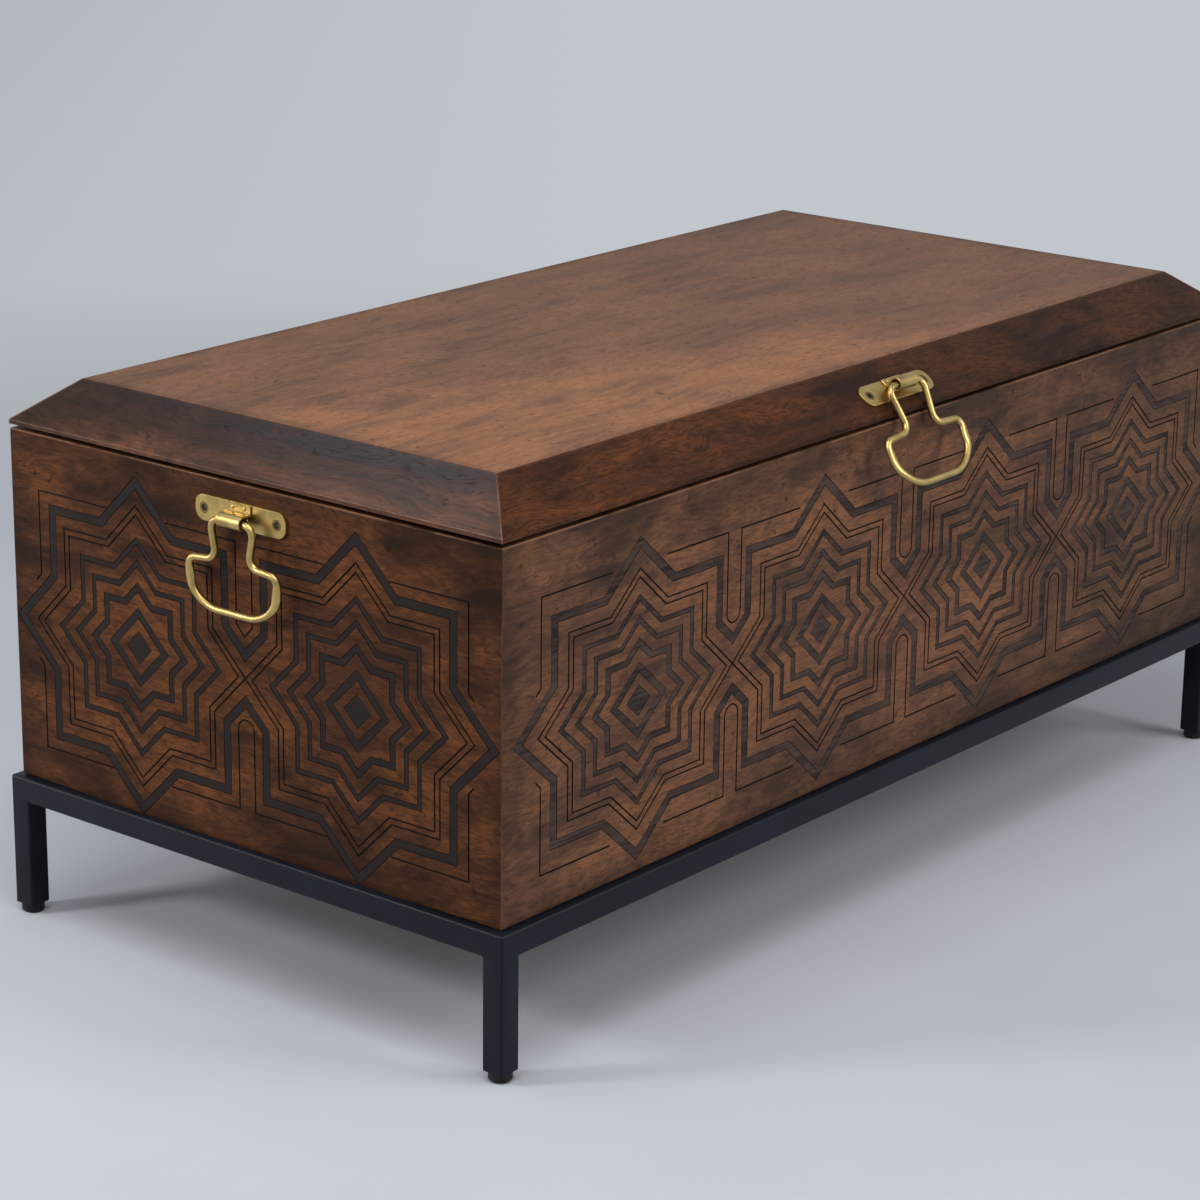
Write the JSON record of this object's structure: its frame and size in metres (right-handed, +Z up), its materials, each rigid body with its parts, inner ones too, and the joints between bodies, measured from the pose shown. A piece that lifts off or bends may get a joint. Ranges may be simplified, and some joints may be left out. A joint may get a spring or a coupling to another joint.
{
  "type": "trunk coffee table",
  "caption": "Low wooden storage trunk used as a coffee table: bevelled hinged lid, star-lattice panels, brass drop bails, on a black steel tube base.",
  "frame": {"origin": "on the floor, under the middle of the table's bounding box, whose depth includes the front bail that leans out", "axes": "+Z up, +X along the length to the right seen from the front, -Y towards the front with the lid's bail"},
  "size_m": [1.0646, 0.5644, 0.457],
  "materials": {
    "panel_wood": "satin stained hardwood, darkened at the edges, with stained and engraved lines",
    "lid_wood": "satin stained hardwood, worn at the arrises",
    "top_wood": "satin stained boards",
    "inner_wood": "plain sanded wood",
    "black_steel": "matte black paint, rubbed at the edges",
    "brass": "aged satin brass",
    "plated_steel": "dull plated",
    "insert_plastic": "moulded",
    "foot_plastic": "moulded",
    "felt": "felt"
  },
  "bodies": {
    "carcass": {"back_left_leg": "black_steel", "back_panel": "panel_wood", "back_rail": "black_steel", "back_right_leg": "black_steel", "base_pads": "felt", "base_screws": "plated_steel", "base_tabs": "black_steel", "bottom_cleats": "inner_wood", "bottom_panel": "inner_wood", "box_hardware_screws": "plated_steel", "corner_blocks": "inner_wood", "end_handle_screws": "brass", "front_left_leg": "black_steel", "front_panel": "panel_wood", "front_rail": "black_steel", "front_right_leg": "black_steel", "left_handle_knuckle": "brass", "left_handle_plate": "brass", "left_hinge_box_leaf": "plated_steel", "left_hinge_pin": "plated_steel", "left_panel": "panel_wood", "left_rail": "black_steel", "left_stay_box_bracket": "plated_steel", "leg_inserts": "insert_plastic", "lid_bumpers": "felt", "right_handle_knuckle": "brass", "right_handle_plate": "brass", "right_hinge_box_leaf": "plated_steel", "right_hinge_pin": "plated_steel", "right_panel": "panel_wood", "right_rail": "black_steel", "right_stay_box_bracket": "plated_steel"},
    "lid": {"lid_front_rail": "lid_wood", "lid_back_rail": "lid_wood", "lid_left_rail": "lid_wood", "lid_right_rail": "lid_wood", "lid_board_1": "top_wood", "lid_board_2": "top_wood", "lid_board_3": "top_wood", "lid_board_4": "top_wood", "lid_board_5": "top_wood", "lid_battens": "inner_wood", "batten_screws": "plated_steel", "lid_hardware_screws": "plated_steel", "left_hinge_lid_leaf": "plated_steel", "right_hinge_lid_leaf": "plated_steel", "left_stay_lid_bracket": "plated_steel", "right_stay_lid_bracket": "plated_steel", "front_handle_plate": "brass", "front_handle_knuckle": "brass", "front_handle_screws": "brass"},
    "left_stay": {"left_stay_arm": "plated_steel"},
    "right_stay": {"right_stay_arm": "plated_steel"},
    "left_bail": {"left_handle_bail": "brass"},
    "right_bail": {"right_handle_bail": "brass"},
    "front_bail": {"front_handle_bail": "brass"},
    "front_left_foot": {"front_left_foot": "foot_plastic"},
    "front_right_foot": {"front_right_foot": "foot_plastic"},
    "back_left_foot": {"back_left_foot": "foot_plastic"},
    "back_right_foot": {"back_right_foot": "foot_plastic"}
  },
  "joints": [
    {"name": "lid_hinge", "type": "hinge", "parent": "carcass", "child": "lid", "pos_m": [0, 0.2785, 0.4185], "axis": [-1, 0, 0], "range_deg": [0, 100]},
    {"name": "left_stay_pivot", "type": "hinge", "parent": "lid", "child": "left_stay", "pos_m": [-0.489, 0.15897, 0.40804], "axis": [1, 0, 0], "range_deg": [0, 50]},
    {"name": "right_stay_pivot", "type": "hinge", "parent": "lid", "child": "right_stay", "pos_m": [0.489, 0.15897, 0.40804], "axis": [1, 0, 0], "range_deg": [0, 50]},
    {"name": "left_bail_swing", "type": "hinge", "parent": "carcass", "child": "left_bail", "pos_m": [-0.5265, 0.0142, 0.3895], "axis": [0, 1, 0], "range_deg": [-6, 170]},
    {"name": "right_bail_swing", "type": "hinge", "parent": "carcass", "child": "right_bail", "pos_m": [0.5265, 0.0142, 0.3895], "axis": [0, -1, 0], "range_deg": [-6, 170]},
    {"name": "front_bail_swing", "type": "hinge", "parent": "lid", "child": "front_bail", "pos_m": [0, -0.23991, 0.44378], "axis": [-1, 0, 0], "range_deg": [0, 190]},
    {"name": "front_left_foot_adjust", "type": "slide", "parent": "carcass", "child": "front_left_foot", "axis": [0, 0, -1], "range_m": [0, 0.008]},
    {"name": "front_right_foot_adjust", "type": "slide", "parent": "carcass", "child": "front_right_foot", "axis": [0, 0, -1], "range_m": [0, 0.008]},
    {"name": "back_left_foot_adjust", "type": "slide", "parent": "carcass", "child": "back_left_foot", "axis": [0, 0, -1], "range_m": [0, 0.008]},
    {"name": "back_right_foot_adjust", "type": "slide", "parent": "carcass", "child": "back_right_foot", "axis": [0, 0, -1], "range_m": [0, 0.008]}
  ],
  "couplings": [
    {"joint": "left_stay_pivot", "follows": "lid_hinge", "ratio": 0.5},
    {"joint": "right_stay_pivot", "follows": "lid_hinge", "ratio": 0.5}
  ]
}
